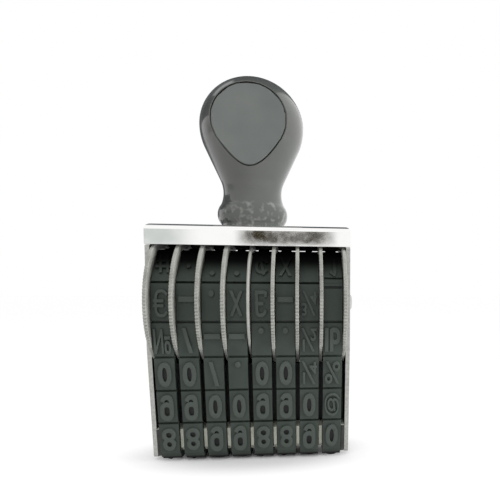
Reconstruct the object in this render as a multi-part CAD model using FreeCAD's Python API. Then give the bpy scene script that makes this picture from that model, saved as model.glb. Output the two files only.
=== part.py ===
import FreeCAD, Part
import math
import os

# Hand numbering machine with eight rubber type bands, in millimetres.
# X runs along the axle, -Y faces the user and +Z is up.
# The origin is the middle of the printing face, where the raised type meets the paper.

V = FreeCAD.Vector

# Type bands
band_count = 8
wheel_pitch = 5.5           # from one band to the next along the axle
segment_pitch = 8.15        # room of one character, measured on the inside of a band
leg_segments = 4            # characters on each straight run between drum and anvil
band_width = 4.5
web_thickness = 1.1         # unbroken fabric-backed rubber under the segments
segment_height = 1.25       # a segment above the web, with its raised character
groove_width = 0.5          # cut between two segments
stretch_limit = 60          # degrees, past which a corner parts the segments' ends
top_slack = 0.7             # a slack band standing off the drum's top

# Thumb wheels
drum_flats = 8
disc_radius = 15.05
disc_thickness = 0.8
tooth_count = 40            # the real rim is finer, with about 120
tooth_depth = 0.3
drum_clearance = 0.15       # blunted corners of the drum inside the band
flat_depth = 0.3            # the drum's flats below its blunted corners
wheel_end_gap = 0.1         # between one wheel and the next along the axle

# Smooth divider between the left and the right four wheels
divider_inset = 0.75        # its edge below the thumb wheels' rims
divider_thickness = 0.6

# Axle
axle_radius = 1.5
bore_clearance = 0.05       # radial, wheels on the axle
seat_clearance = 0.02       # radial, fixed pieces on their pins
axle_head_radius = 2.2
axle_head_height = 1.1
crown_radius = 1.4          # flat on top of the head

# Frame, folded from plated sheet
sheet = 1.0
side_gap = 0.15             # between the outer discs and the side plates
top_half_depth = 8.7
bend_radius = 1.3           # outside radius of the folds
top_clearance = 2.09        # over the discs
flange_height = 4.75
corner_slit = 0.2           # between a flange and the edge of a side plate
plate_half_depth = 8.2
plate_foot_half_depth = 4.2
taper_top = 28.0
foot_lift = 1.0             # the plates stay clear of the paper
foot_round = 0.6

# Anvil comb that spreads the bands over the printing face
anvil_clearance = 0.1
anvil_height = 5.9
anvil_bevel = 0.5
fin_thickness = 0.8
fin_reach = 1.0             # in front of the bands' inner face
fin_lift = 0.45             # a fin's lower end above the bands' inner face
fin_bevel = 0.9
cheek_lift = 1.2            # lower end of the two outer fins
comb_end_gap = 0.05
rod_radius = 1.0
rod_lift = 3.0              # rod centre above the bands' inner face

# Plate that keeps the side plates apart, upright inside the bands
spacer_thickness = 1.8
spacer_comb_gap = 0.15
spacer_disc_gap = 0.2

# Handle
bulb_radius = 12.4
crown_height = 11.6         # top of the bulb above its widest point
cone_angle = 25.0           # degrees from upright, under the bulb
neck_radius = 7.0
neck_rise = 8.45            # narrowest point of the neck above the top plate
neck_curve = 7.1            # hollow curve of the neck
ring_radius = 8.43
ring_rise = 3.4             # widest point of the ring above the top plate
ring_top_rise = 5.6
foot_radius = 7.5
foot_rise = 0.8
bulb_steps = 7              # turned rings that make up each curve
neck_steps = 3
ring_steps = 3
label_inset = 3.7           # label flat behind the front of the bulb
label_lean = 1.1            # degrees, top forwards
label_centre_drop = 1.5     # middle of the label under the bulb's centre
label_margin = 0.12         # flat left round the label's pocket, square to the bulb
label_depth = 0.9
label_gap = 0.23            # groove round the label plate, square to the bulb
label_edge = 0.25           # chamfer round the label plate
label_seat = 0.05           # under the label plate

# Stud that carries the handle
stud_radius = 2.5
stud_head_radius = 5.0
stud_head_height = 1.2
stud_reach = 13.0           # into the handle
stud_tip_gap = 1.0
washer_radius = 4.6
washer_thickness = 0.8
washer_gap = 0.1
overrun = 1.0               # how far a cut runs past the solid

# Places worked out from the sizes
half_turn = math.radians(360 / drum_flats / 2)
drum_pitch_apothem = segment_pitch / 2 / math.tan(half_turn)
drum_corner = drum_pitch_apothem / math.cos(half_turn)
anvil_z = web_thickness + segment_height
leg_length = leg_segments * segment_pitch
leg_inset = drum_pitch_apothem - segment_pitch / 2
leg_drop = math.sqrt(leg_length ** 2 - leg_inset ** 2)
leg_slope = leg_inset / leg_drop
axle_z = anvil_z + leg_drop + segment_pitch / 2
drum_radius = drum_pitch_apothem - drum_clearance
drum_apothem = drum_radius - flat_depth
drum_length = wheel_pitch - disc_thickness - wheel_end_gap
left_count = band_count // 2
inner_half_width = band_count / 2 * wheel_pitch + disc_thickness / 2 + side_gap
outer_half_width = inner_half_width + sheet
top_z = axle_z + disc_radius + top_clearance + sheet
handle_z = top_z
slope = math.radians(cone_angle)
neck_z = handle_z + neck_rise
cone_low_radius = neck_radius + neck_curve * (1 - math.cos(slope))
cone_low_z = neck_z + neck_curve * math.sin(slope)
cone_rise = (bulb_radius * math.cos(slope) - cone_low_radius) / math.tan(slope)
bulb_z = cone_low_z + cone_rise + bulb_radius * math.sin(slope)
label_offset = bulb_radius - label_inset
divider_radius = disc_radius - divider_inset


def band_x(index):
    """Middle of a band along the axle, the leftmost being number 0."""
    return (index + 0.5 - band_count / 2) * wheel_pitch


def yz(y, z, x=0):
    return V(x, y, z)


def prism(points, length):
    """Solid from a closed outline in a plane of constant X, swept towards +X."""
    wire = Part.makePolygon(points + [points[0]])
    return Part.Face(wire).extrude(V(length, 0, 0))


def rod_along_x(radius, start, length, z):
    return Part.makeCylinder(radius, length, V(start, 0, z), V(1, 0, 0))


def mirrored_outline(half):
    """Whole outline from the points of its front half, listed upwards."""
    back = [yz(-point.y, point.z) for point in reversed(half)]
    return half + back


# Pitch line of a band, in order up the front, over the drum and down the back
def band_path():
    corners = []
    for step in range(drum_flats // 2 + 2):
        angle = (2 * step - 1) * half_turn
        slack = top_slack if step in (2, 3) else 0
        height = drum_corner * math.sin(angle) + slack
        corners.append(yz(-drum_corner * math.cos(angle), axle_z + height))
    front_foot = yz(-segment_pitch / 2, anvil_z)
    back_foot = yz(segment_pitch / 2, anvil_z)
    path = []
    for step in range(leg_segments):
        path.append(front_foot + (corners[0] - front_foot) * (step / leg_segments))
    path += corners
    for step in range(1, leg_segments + 1):
        path.append(corners[-1] + (back_foot - corners[-1]) * (step / leg_segments))
    return path


def turn_at(path, index):
    """Angle by which the pitch line turns at one of its corners."""
    before = path[index] - path[index - 1]
    after = path[(index + 1) % len(path)] - path[index]
    return before.getAngle(after)


def band_outline(path):
    """Outside of a band: the web, and one segment with a groove at each end per pitch."""
    points = []
    count = len(path)
    for index in range(count):
        start = path[index]
        run = path[(index + 1) % count] - start
        along = V(run).normalize()
        outward = yz(-along.z, along.y)
        start_turn = turn_at(path, index)
        end_turn = turn_at(path, (index + 1) % count)

        def place(distance, height):
            return start + along * distance + outward * height

        def end_place(turn, height):
            if math.degrees(turn) > stretch_limit:
                return groove_width / 2
            return groove_width / 2 / math.cos(turn / 2) - height * math.tan(turn / 2)

        segment_top = web_thickness + segment_height
        if math.degrees(start_turn) > 1:
            points.append(place(-web_thickness * math.tan(start_turn / 2), web_thickness))
        for height in (web_thickness, segment_top):
            points.append(place(end_place(start_turn, height), height))
        for height in (segment_top, web_thickness):
            points.append(place(run.Length - end_place(end_turn, height), height))
    return points


def make_band():
    path = band_path()
    corners = [path[i] for i in range(len(path)) if math.degrees(turn_at(path, i)) > 1]
    body = prism(band_outline(path), band_width)
    return body.cut(prism(corners, band_width))


# Thumb wheel with its disc centred on X = 0 and its drum towards +X
def serrated_disc():
    points = []
    for step in range(2 * tooth_count):
        radius = disc_radius - tooth_depth * (step % 2)
        angle = math.pi * step / tooth_count
        points.append(yz(radius * math.cos(angle), axle_z + radius * math.sin(angle), -disc_thickness / 2))
    return prism(points, disc_thickness)


def flat_sided_drum():
    """Prism with a flat for each character, its corners blunted to pass under the band."""
    blunt = math.acos(drum_apothem / drum_radius)
    points = []
    for step in range(drum_flats):
        for angle in (2 * step * half_turn - blunt, 2 * step * half_turn + blunt):
            y = drum_radius * math.cos(angle)
            points.append(yz(y, axle_z + drum_radius * math.sin(angle), disc_thickness / 2))
    return prism(points, drum_length)


def make_wheel():
    start = disc_thickness / 2
    wheel = serrated_disc().fuse(flat_sided_drum())
    bore_length = disc_thickness + drum_length + 2 * overrun
    bore = rod_along_x(axle_radius + bore_clearance, -start - overrun, bore_length, axle_z)
    return wheel.cut(bore)


def placed_wheel(wheel, index):
    """Left wheels have their disc on the left of the band, right wheels on the right."""
    if index < left_count:
        return wheel.translated(V(band_x(index) - wheel_pitch / 2, 0, 0))
    turned = wheel.mirror(V(0, 0, 0), V(1, 0, 0))
    return turned.translated(V(band_x(index) + wheel_pitch / 2, 0, 0))


def make_divider():
    disc = rod_along_x(divider_radius, -divider_thickness / 2, divider_thickness, axle_z)
    bore = rod_along_x(axle_radius + seat_clearance, -divider_thickness / 2, divider_thickness, axle_z)
    return disc.cut(bore)


# Axle with a rivet head on each end
def make_axle():
    shaft = rod_along_x(axle_radius, -outer_half_width, 2 * outer_half_width, axle_z)
    for side in (-1, 1):
        foot = V(side * outer_half_width, 0, axle_z)
        head = Part.makeCone(axle_head_radius, crown_radius, axle_head_height, foot, V(side, 0, 0))
        shaft = shaft.fuse(head)
    return shaft


# Frame: a top with two side plates and two flanges, all folded from one sheet
def folded_channel(half_width, length, drop, lower_z):
    """Sheet bent into a channel open below, across X, its outside centred on the origin."""
    block = Part.makeBox(2 * half_width, length, drop, V(-half_width, -length / 2, lower_z))
    tops = [e for e in block.Edges if abs(e.CenterOfMass.z - lower_z - drop) < sheet / 2
            and abs(abs(e.CenterOfMass.x) - half_width) < sheet / 2]
    block = block.makeFillet(bend_radius, tops)
    inner_half = half_width - sheet
    hollow = Part.makeBox(2 * inner_half, length + 2 * overrun, drop - sheet + overrun,
                          V(-inner_half, -length / 2 - overrun, lower_z - overrun))
    tops = [e for e in hollow.Edges if abs(e.CenterOfMass.z - lower_z - drop + sheet) < sheet / 2
            and abs(abs(e.CenterOfMass.x) - inner_half) < sheet / 2]
    return block.cut(hollow.makeFillet(bend_radius - sheet, tops))


def side_outline():
    """A side plate seen along the axle: drawn in behind the flanges, tapered to the foot."""
    narrow = top_half_depth - sheet - corner_slit
    shoulder = top_z - flange_height - corner_slit
    points = [
        yz(-plate_foot_half_depth, foot_lift),
        yz(-plate_half_depth, taper_top),
        yz(-plate_half_depth, shoulder),
        yz(-narrow, shoulder),
        yz(-narrow, top_z),
    ]
    outline = mirrored_outline(points)
    return [yz(point.y, point.z, -outer_half_width) for point in outline]


def rounded_ends(half_width, depth, lower_z):
    """Block with the outside of the side folds, to round off the ends of the flanges."""
    block = Part.makeBox(2 * half_width, depth, top_z - lower_z, V(-half_width, -depth / 2, lower_z))
    tops = [e for e in block.Edges if abs(e.CenterOfMass.z - top_z) < sheet / 2
            and abs(abs(e.CenterOfMass.x) - half_width) < sheet / 2]
    return block.makeFillet(bend_radius, tops)


def make_frame():
    sides = folded_channel(outer_half_width, 2 * top_half_depth, top_z - foot_lift, foot_lift)
    sides = sides.common(prism(side_outline(), 2 * outer_half_width))
    lower = top_z - flange_height
    flanges = folded_channel(top_half_depth, 2 * outer_half_width, flange_height, lower)
    flanges.rotate(V(0, 0, 0), V(0, 0, 1), 90)
    flanges = flanges.common(rounded_ends(outer_half_width, 2 * top_half_depth, lower))
    flat_depth_y = 2 * (top_half_depth - bend_radius)
    flanges = flanges.cut(Part.makeBox(2 * outer_half_width, flat_depth_y, flange_height,
                                       V(-outer_half_width, -flat_depth_y / 2, lower)))
    frame = sides.fuse(flanges)
    feet = [e for e in frame.Edges if abs(e.CenterOfMass.z - foot_lift) < sheet / 2
            and abs(abs(e.CenterOfMass.y) - plate_foot_half_depth) < sheet / 2]
    frame = frame.makeFillet(foot_round, feet)
    frame = frame.cut(rod_along_x(axle_radius + seat_clearance, -outer_half_width - overrun,
                                  2 * (outer_half_width + overrun), axle_z))
    frame = frame.cut(rod_along_x(rod_radius + seat_clearance, -outer_half_width - overrun,
                                  2 * (outer_half_width + overrun), anvil_z + rod_lift))
    hole = Part.makeCylinder(stud_radius + seat_clearance, sheet + 2 * overrun,
                             V(0, 0, top_z - sheet - overrun))
    return frame.cut(hole).removeSplitter()


# Anvil comb: a core inside the bands and a fin in each space between them
def comb_outline(x, lower, upper, reach):
    """Section of the comb between two heights, its front and back parallel to the bands."""
    half_lower = segment_pitch / 2 + (lower - anvil_z) * leg_slope + reach
    half_upper = segment_pitch / 2 + (upper - anvil_z) * leg_slope + reach
    points = [yz(-half_lower, lower), yz(-half_upper, upper)]
    return [yz(point.y, point.z, x) for point in mirrored_outline(points)]


def lower_edges(bar, length):
    lower = bar.BoundBox.ZMin
    return [e for e in bar.Edges if abs(e.CenterOfMass.z - lower) < anvil_bevel / 2
            and abs(e.Vertexes[0].X - e.Vertexes[-1].X) > length / 2]


def make_comb():
    half_length = inner_half_width - comb_end_gap
    lower = anvil_z + anvil_clearance
    upper = anvil_z + anvil_height
    outline = comb_outline(-half_length, lower, upper, -anvil_clearance)
    core = prism(outline, 2 * half_length)
    comb = core.makeChamfer(anvil_bevel, lower_edges(core, 2 * half_length))
    for index in range(band_count + 1):
        middle = band_x(index) - wheel_pitch / 2
        outer = index in (0, band_count)
        fin_lower = cheek_lift if outer else anvil_z + fin_lift
        outline = comb_outline(middle - fin_thickness / 2, fin_lower, upper, fin_reach)
        fin = prism(outline, fin_thickness)
        comb = comb.fuse(fin.makeChamfer(fin_bevel, lower_edges(fin, fin_thickness)))
    bore = rod_along_x(rod_radius + seat_clearance, -half_length - overrun,
                       2 * (half_length + overrun), anvil_z + rod_lift)
    return comb.cut(bore).removeSplitter()


def make_spacer():
    lower = anvil_z + anvil_height + spacer_comb_gap
    upper = axle_z - disc_radius - spacer_disc_gap
    corner = V(-inner_half_width, -spacer_thickness / 2, lower)
    return Part.makeBox(2 * inner_half_width, spacer_thickness, upper - lower, corner)


def make_rod():
    return rod_along_x(rod_radius, -outer_half_width, 2 * outer_half_width, anvil_z + rod_lift)


# Handle: a turned bulb on a hollow neck with a ring at its foot
def bulb_curve(shrink):
    """Profile of the bulb from its top, past its widest point, to the foot of the cone under it."""
    radius = bulb_radius - shrink
    points = [V(0, 0, bulb_z + crown_height - shrink)]
    for step in range(1, bulb_steps + 1):
        angle = math.pi / 2 - (math.pi / 2 + slope) * step / bulb_steps
        height = crown_height - shrink if angle > 0 else radius
        points.append(V(radius * math.cos(angle), 0, bulb_z + height * math.sin(angle)))
    drop = points[-1].z - cone_low_z
    return points + [V(points[-1].x - drop * math.tan(slope), 0, cone_low_z)]


def curve_points(first, through, last, steps):
    """Even points along the arc through three points, its first left out."""
    arc = Part.Arc(first, through, last)
    span = arc.LastParameter - arc.FirstParameter
    return [arc.value(arc.FirstParameter + span * step / steps) for step in range(1, steps + 1)]


def turned(points):
    """Solid turned about the handle's axis from a closed profile."""
    face = Part.Face(Part.makePolygon(points + [points[0]]))
    return face.revolve(V(0, 0, 0), V(0, 0, 1), 360).Solids[0]


def handle_body():
    profile = bulb_curve(0)
    ring_top_z = handle_z + ring_top_rise
    flare = math.asin((neck_z - ring_top_z) / neck_curve)
    neck = V(neck_radius, 0, neck_z)
    ring_top = V(neck_radius + neck_curve * (1 - math.cos(flare)), 0, ring_top_z)
    ring_out = V(ring_radius, 0, handle_z + ring_rise)
    ring_low = V(foot_radius, 0, handle_z + foot_rise)
    foot = V(foot_radius, 0, handle_z)
    base = V(0, 0, handle_z)
    profile += curve_points(profile[-1], neck, ring_top, neck_steps)
    profile += curve_points(ring_top, ring_out, ring_low, ring_steps)
    return turned(profile + [foot, base])


def bulb_body(shrink):
    """The bulb and its cone alone, drawn in all over, for the label's outline."""
    return turned(bulb_curve(shrink) + [V(0, 0, cone_low_z)])


def leaned(shape):
    """Leans a shape made upright in front of the handle to the label's flat."""
    copy = shape.copy()
    copy.rotate(V(0, -label_offset, bulb_z - label_centre_drop), V(1, 0, 0), label_lean)
    return copy


def label_side(depth, start):
    """Block as wide as the bulb, from the label's flat forwards or inwards."""
    high = bulb_z + bulb_radius + overrun
    corner = V(-2 * bulb_radius, start, cone_low_z)
    return leaned(Part.makeBox(4 * bulb_radius, depth, high - cone_low_z, corner))


def label_prism(shrink, front, depth):
    """Prism behind the label's flat, its outline the flat's own, drawn in."""
    behind = bulb_body(shrink).common(label_side(bulb_radius, -label_offset))
    lean = math.radians(label_lean)
    direction = V(0, -math.cos(lean), -math.sin(lean))
    near = V(0, -label_offset, bulb_z)
    flats = [f for f in behind.Faces if (f.CenterOfMass - near).Length < bulb_radius / 2
             and abs(f.normalAt(0, 0).dot(direction)) > math.cos(lean)]
    outline = Part.Face(min(flats, key=lambda f: f.CenterOfMass.y).OuterWire)
    outline.translate(direction * front)
    return outline.extrude(direction * -depth)


def make_grip():
    front = label_side(bulb_radius, -label_offset - bulb_radius)
    grip = handle_body().cut(front)
    grip = grip.cut(label_prism(label_margin, overrun, overrun + label_depth))
    bore = Part.makeCylinder(stud_radius + seat_clearance, stud_reach + stud_tip_gap, V(0, 0, handle_z))
    seat = Part.makeCylinder(washer_radius + washer_gap, washer_thickness + washer_gap, V(0, 0, handle_z))
    return grip.cut(bore).cut(seat)


def make_label_plate():
    plate = label_prism(label_margin + label_gap, 0, label_depth - label_seat)
    front = min(plate.Faces, key=lambda f: f.CenterOfMass.y)
    return plate.makeChamfer(label_edge, front.Edges)


def make_stud():
    head = Part.makeCylinder(stud_head_radius, stud_head_height, V(0, 0, top_z - sheet - stud_head_height))
    shank = Part.makeCylinder(stud_radius, sheet + stud_reach, V(0, 0, top_z - sheet))
    return head.fuse(shank)


def make_washer():
    ring = Part.makeCylinder(washer_radius, washer_thickness, V(0, 0, handle_z))
    return ring.cut(Part.makeCylinder(stud_radius + seat_clearance, washer_thickness, V(0, 0, handle_z)))


# Every piece under the name of its node
def build_parts():
    parts = {}
    parts["frame_bracket"] = make_frame()
    parts["axle"] = make_axle()
    parts["centre_divider"] = make_divider()
    wheel = make_wheel()
    band = make_band()
    for index in range(band_count):
        parts["thumb_wheel_%d" % (index + 1)] = placed_wheel(wheel, index)
        start = band_x(index) - band_width / 2
        parts["type_band_%d" % (index + 1)] = band.translated(V(start, 0, 0))
    parts["anvil_comb"] = make_comb()
    parts["anvil_rod"] = make_rod()
    parts["spacer_plate"] = make_spacer()
    parts["handle_grip"] = make_grip()
    parts["label_plate"] = make_label_plate()
    parts["handle_stud"] = make_stud()
    parts["handle_washer"] = make_washer()
    return parts


os.makedirs("parts", exist_ok=True)
for name, shape in build_parts().items():
    box = shape.BoundBox
    print("%-16s solids %d valid %s volume %.1f box %.2f %.2f %.2f to %.2f %.2f %.2f" % (
        name, len(shape.Solids), shape.isValid(), shape.Volume,
        box.XMin, box.YMin, box.ZMin, box.XMax, box.YMax, box.ZMax))
    shape.exportStep("parts/%s.step" % name)
print("axle height %.3f, top plate %.3f, handle top %.3f" % (axle_z, top_z, bulb_z + crown_height))
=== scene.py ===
# %% [markdown]
# # Rubber band numbering stamp
# This lesson dresses a hand numbering stamp: eight segmented rubber bands that run over
# serrated thumb wheels, in a bright plated frame under a bulb handle. The solids come
# ready made, so the first cell loads them. They fix every size and every place, and each
# new piece is measured against them.

# %% Load the solids
import math

import bmesh
import bpy
from mathutils import Matrix, Vector


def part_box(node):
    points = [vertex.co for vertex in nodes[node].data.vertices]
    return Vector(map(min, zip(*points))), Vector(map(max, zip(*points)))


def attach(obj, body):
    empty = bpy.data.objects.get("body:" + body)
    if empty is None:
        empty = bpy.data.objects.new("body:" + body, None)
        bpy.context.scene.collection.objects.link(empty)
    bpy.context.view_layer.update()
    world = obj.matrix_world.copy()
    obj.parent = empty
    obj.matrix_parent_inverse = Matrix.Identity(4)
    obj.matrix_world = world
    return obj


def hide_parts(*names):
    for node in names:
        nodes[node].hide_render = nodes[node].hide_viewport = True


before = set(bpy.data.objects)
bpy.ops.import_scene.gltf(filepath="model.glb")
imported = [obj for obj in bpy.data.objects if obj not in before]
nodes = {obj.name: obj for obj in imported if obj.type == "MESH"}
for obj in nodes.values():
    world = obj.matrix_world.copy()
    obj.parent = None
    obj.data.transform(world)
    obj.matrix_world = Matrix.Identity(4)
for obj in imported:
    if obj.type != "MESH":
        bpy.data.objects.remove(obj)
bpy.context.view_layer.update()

# %% [markdown]
# ## Hands at the bench
# An operator works on whatever is selected, and loading leaves all solids selected. So
# every piece starts with nothing selected. The helpers below do what a modeller does by
# hand: clear the selection, name a new piece, pick faces or edges by a rule, extrude,
# and apply a modifier.

# %% Helpers for selecting and finishing
MM = 0.001
# Points this close are one, on a finished shape and on a plain strip. The second is also
# the play for what should lie in a plane.
MERGE_GAP = 0.002 * MM
SEAM_GAP = 0.01 * MM
# Normals that agree so far point the same way
SAME_WAY = 0.99


def clear_selection():
    if bpy.context.mode != "OBJECT":
        bpy.ops.object.mode_set(mode="OBJECT")
    bpy.ops.object.select_all(action="DESELECT")


def select_only(*pieces):
    clear_selection()
    for piece in pieces:
        piece.select_set(True)
    bpy.context.view_layer.objects.active = pieces[0]


def named(name):
    """Names the piece that was just added and puts its place into its mesh."""
    piece = bpy.context.object
    piece.name = name
    piece.data.name = name
    select_only(piece)
    bpy.ops.object.transform_apply(location=True, rotation=True, scale=True)
    return piece


def pick(piece, kind, rule):
    """Goes to edit mode with only those faces, edges or verts selected that the rule accepts."""
    if bpy.context.mode != "EDIT_MESH":
        select_only(piece)
        bpy.ops.object.mode_set(mode="EDIT")
    modes = {"verts": "VERT", "edges": "EDGE", "faces": "FACE"}
    bpy.ops.mesh.select_mode(type=modes[kind])
    bpy.ops.mesh.select_all(action="DESELECT")
    mesh = bmesh.from_edit_mesh(piece.data)
    mesh.normal_update()
    picked = [item for item in getattr(mesh, kind) if rule(item)]
    for item in picked:
        item.select_set(True)
    mesh.select_flush_mode()
    bmesh.update_edit_mesh(piece.data)
    return len(picked)


def pick_all(piece):
    return pick(piece, "verts", lambda vert: True)


def leave_edit():
    bpy.ops.object.mode_set(mode="OBJECT")


def extrude(move):
    bpy.ops.mesh.extrude_region_move(TRANSFORM_OT_translate={"value": move})


def modify(piece, kind, **settings):
    select_only(piece)
    modifier = piece.modifiers.new(kind.lower(), kind)
    for key, value in settings.items():
        setattr(modifier, key, value)
    bpy.ops.object.modifier_apply(modifier=modifier.name)


def joined(name, pieces):
    select_only(*pieces)
    bpy.ops.object.join()
    return named(name)


def smooth(piece, degrees):
    """Smooths the shading over bevels and curves, and keeps the wide faces flat."""
    select_only(piece)
    bpy.ops.object.shade_smooth_by_angle(angle=math.radians(degrees))
    modify(piece, "WEIGHTED_NORMAL", keep_sharp=True)


def turned_copy(piece, name, place, mirrored=False):
    """A copy with a mesh of its own, put in place by a matrix."""
    copy = bpy.data.objects.new(name, piece.data.copy())
    copy.data.name = name
    copy.data.transform(place)
    if mirrored:
        copy.data.flip_normals()
    bpy.context.scene.collection.objects.link(copy)
    return copy


def triangles(piece):
    return sum(len(face.vertices) - 2 for face in piece.data.polygons)


print("helpers ready")

# %% [markdown]
# ## Sizes shared by the wheels and the bands
# The bands are the ruler of this object. A band is an endless strip with one rubber pad
# for each character, and a pad is as long as one flat of the eight-sided drum in its
# wheel. From that pad length follow the drum, the legs and the anvil. The pitch line
# below is the inner face of a band, walked up the front, over the drum and down the back.
# The rubber is a little slack, so it stands off the drum's topmost flat.

# %% Measure the bands' route
PAD_PITCH = 8.15 * MM
DRUM_FLATS = 8
LEG_PADS = 4
WEB = 1.1 * MM
PAD_HEIGHT = 0.75 * MM
RELIEF = 0.5 * MM
GROOVE = 0.5 * MM
TOP_SLACK = 0.7 * MM
BAND_COUNT = 8

band_low, band_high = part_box("type_band_1")
band_width = band_high.x - band_low.x
wheel_low, wheel_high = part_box("thumb_wheel_1")
axle_z = (wheel_low.z + wheel_high.z) / 2
half_turn = math.pi / DRUM_FLATS
pitch_apothem = PAD_PITCH / 2 / math.tan(half_turn)
pitch_corner = pitch_apothem / math.cos(half_turn)
foot_z = band_low.z + WEB + PAD_HEIGHT + RELIEF


def route():
    corners = []
    for step in range(DRUM_FLATS // 2 + 2):
        angle = (2 * step - 1) * half_turn
        y = -pitch_corner * math.cos(angle)
        slack = TOP_SLACK if step in (2, 3) else 0
        corners.append(Vector((0, y, axle_z + pitch_corner * math.sin(angle) + slack)))
    front = Vector((0, -PAD_PITCH / 2, foot_z))
    back = Vector((0, PAD_PITCH / 2, foot_z))
    points = [front.lerp(corners[0], step / LEG_PADS) for step in range(LEG_PADS)]
    points += corners
    points += [corners[-1].lerp(back, step / LEG_PADS) for step in range(1, LEG_PADS + 1)]
    return points


band_route = route()
print("pads on a band:", len(band_route), "axle height mm: %.2f" % (axle_z / MM))

# %% [markdown]
# ## The web of a band
# Under the pads runs one unbroken strip of fabric-backed rubber. It could be a bent
# plane, but extruding one edge from corner to corner keeps every corner exact. The
# strip then gets its thickness, outwards, from a Solidify modifier.

# %% Extrude the web


def make_web():
    clear_selection()
    bpy.ops.mesh.primitive_plane_add(size=band_width)
    web = named("band_web")
    pick(web, "verts", lambda vert: vert.co.y > 0)
    bpy.ops.mesh.delete(type="VERT")
    pick_all(web)
    bpy.ops.transform.translate(value=band_route[0] + Vector((0, band_width / 2, 0)))
    for here, there in zip(band_route, band_route[1:] + band_route[:1]):
        extrude(there - here)
    pick_all(web)
    bpy.ops.mesh.remove_doubles(threshold=SEAM_GAP)
    bpy.ops.mesh.normals_make_consistent(inside=False)
    leave_edit()
    lowest = min(web.data.polygons, key=lambda face: face.center.z)
    if lowest.normal.z > 0:
        web.data.flip_normals()
    modify(web, "SOLIDIFY", thickness=WEB, offset=1.0, use_even_offset=True)
    return web


band_web = make_web()
print("web faces", len(band_web.data.polygons))

# %% [markdown]
# ## The pads
# Each pad is a block of rubber with a thin groove at each end. Where the band turns over
# a corner of the drum, the pad's ends splay so that the groove stays thin. Sharp blocks
# would look cut from stone, so the edges get a small bevel.

# %% Model one pad for each run of the route
PAD_EDGE = 0.12 * MM
CORNER_STRETCH = math.radians(60)


def run(index):
    """The way from one corner of the route to the next."""
    count = len(band_route)
    return band_route[(index + 1) % count] - band_route[index % count]


def splay(index, height, groove):
    """How far a pad's end stands past the groove at a corner, at a height over the pitch line."""
    turn = run(index - 1).angle(run(index))
    if turn > CORNER_STRETCH:
        return groove / 2
    return groove / 2 / math.cos(turn / 2) - height * math.tan(turn / 2)


def pad_place(index):
    """Matrix that lays a pad's X across the band, its Y along it and its Z outwards."""
    along = run(index).normalized()
    across = Vector((1, 0, 0))
    outward = across.cross(along)
    axes = Matrix((across, along, outward)).transposed()
    return Matrix.Translation(band_route[index]) @ axes.to_4x4()


def make_pad(index, low=0.0, high=0.0, groove=GROOVE):
    """A pad over one run. A low or high cut sets that end back from its corner, and square."""
    first, last = low, run(index).length - high
    middle = (first + last) / 2
    bottom = WEB - PAD_EDGE
    top = WEB + PAD_HEIGHT
    clear_selection()
    bpy.ops.mesh.primitive_cube_add(size=1)
    pad = named("pad")
    pick_all(pad)
    bpy.ops.transform.resize(value=(band_width, last - first, top - bottom))
    bpy.ops.transform.translate(value=(0, middle, (top + bottom) / 2))
    for end, corner, cut in ((0, index, low), (1, index + 1, high)):
        if cut:
            continue
        for height in (bottom, top):
            pick(pad, "verts", lambda vert: (vert.co.y > middle) == (end == 1)
                 and (vert.co.z > (top + bottom) / 2) == (height == top))
            shift = splay(corner, height, groove)
            bpy.ops.transform.translate(value=(0, shift if end == 0 else -shift, 0))
    pick(pad, "edges", lambda edge: edge.verts[0].co.z + edge.verts[1].co.z > bottom + top)
    bpy.ops.mesh.bevel(offset=PAD_EDGE, segments=2, profile=0.6)
    leave_edit()
    pad.data.transform(pad_place(index))
    return pad


pads = [make_pad(index) for index in range(len(band_route))]
plain_band = joined("plain_band", [band_web] + pads)
print("plain band faces", len(plain_band.data.polygons))

# %% [markdown]
# ## The glued joint
# A band is cut from a sheet, so somewhere its ends are glued together. On the band at the
# right the joint shows: a narrow strip over a corner of the drum, with a groove on each
# side. The two pads beside it are cut short, and two mitred slips make the strip.

# %% Model the band with its joint in front
JOINT_RUN = 4
JOINT_BELOW = 0.05 * MM
JOINT_ABOVE = 0.55 * MM


def make_joint():
    here, there = JOINT_RUN, JOINT_RUN + 1
    return [make_pad(here, high=JOINT_BELOW + GROOVE),
            make_pad(here, low=run(here).length - JOINT_BELOW, groove=0),
            make_pad(there, high=run(there).length - JOINT_ABOVE, groove=0),
            make_pad(there, low=JOINT_ABOVE + GROOVE)]


others = [index for index in range(len(band_route)) if index not in (JOINT_RUN, JOINT_RUN + 1)]
glued_band = joined("glued_band", [make_web()] + [make_pad(index) for index in others] + make_joint())
print("glued band faces", len(glued_band.data.polygons))

# %% [markdown]
# ## The raised characters
# Type stands proud of its pad and is mirrored, so that the print reads the right way.
# Seen from the front, a mirrored character stands on its head. Each character is typed
# once with Blender's own font, made a mesh, narrowed to the height and width of real
# type, and mirrored. Every place that uses it gets a copy. The figures are cut bold, the
# eight less so because its counters would close, and signs with fine strokes lean.

# %% Cut each character once
TYPE_HEIGHT = 6.0 * MM
TYPE_WIDTH = 3.05 * MM
TYPE_WIDEST = 3.7 * MM
TYPE_ROOT = 0.05 * MM
TYPE_EDGE = 0.08 * MM
BOLD_SWELL = 0.2 * MM
OPEN_SWELL = 0.09 * MM
LEAN_SWELL = 0.04 * MM
OPEN_SIGNS = "8"
LEAN_SIGNS = "@№#½¼¾%*"
FULL_HEIGHT = "@"
SET_WIDTHS = {"8": 3.15 * MM, "-": 3.6 * MM, ".": 1.25 * MM, "'": 1.25 * MM, "X": 3.1 * MM}
FONT_SIZE = 8.2 * MM
CURVE_STEPS = 4
type_cuts = {}


def swell_of(text):
    if text in LEAN_SIGNS:
        return LEAN_SWELL
    return OPEN_SWELL if text in OPEN_SIGNS else BOLD_SWELL


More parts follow.
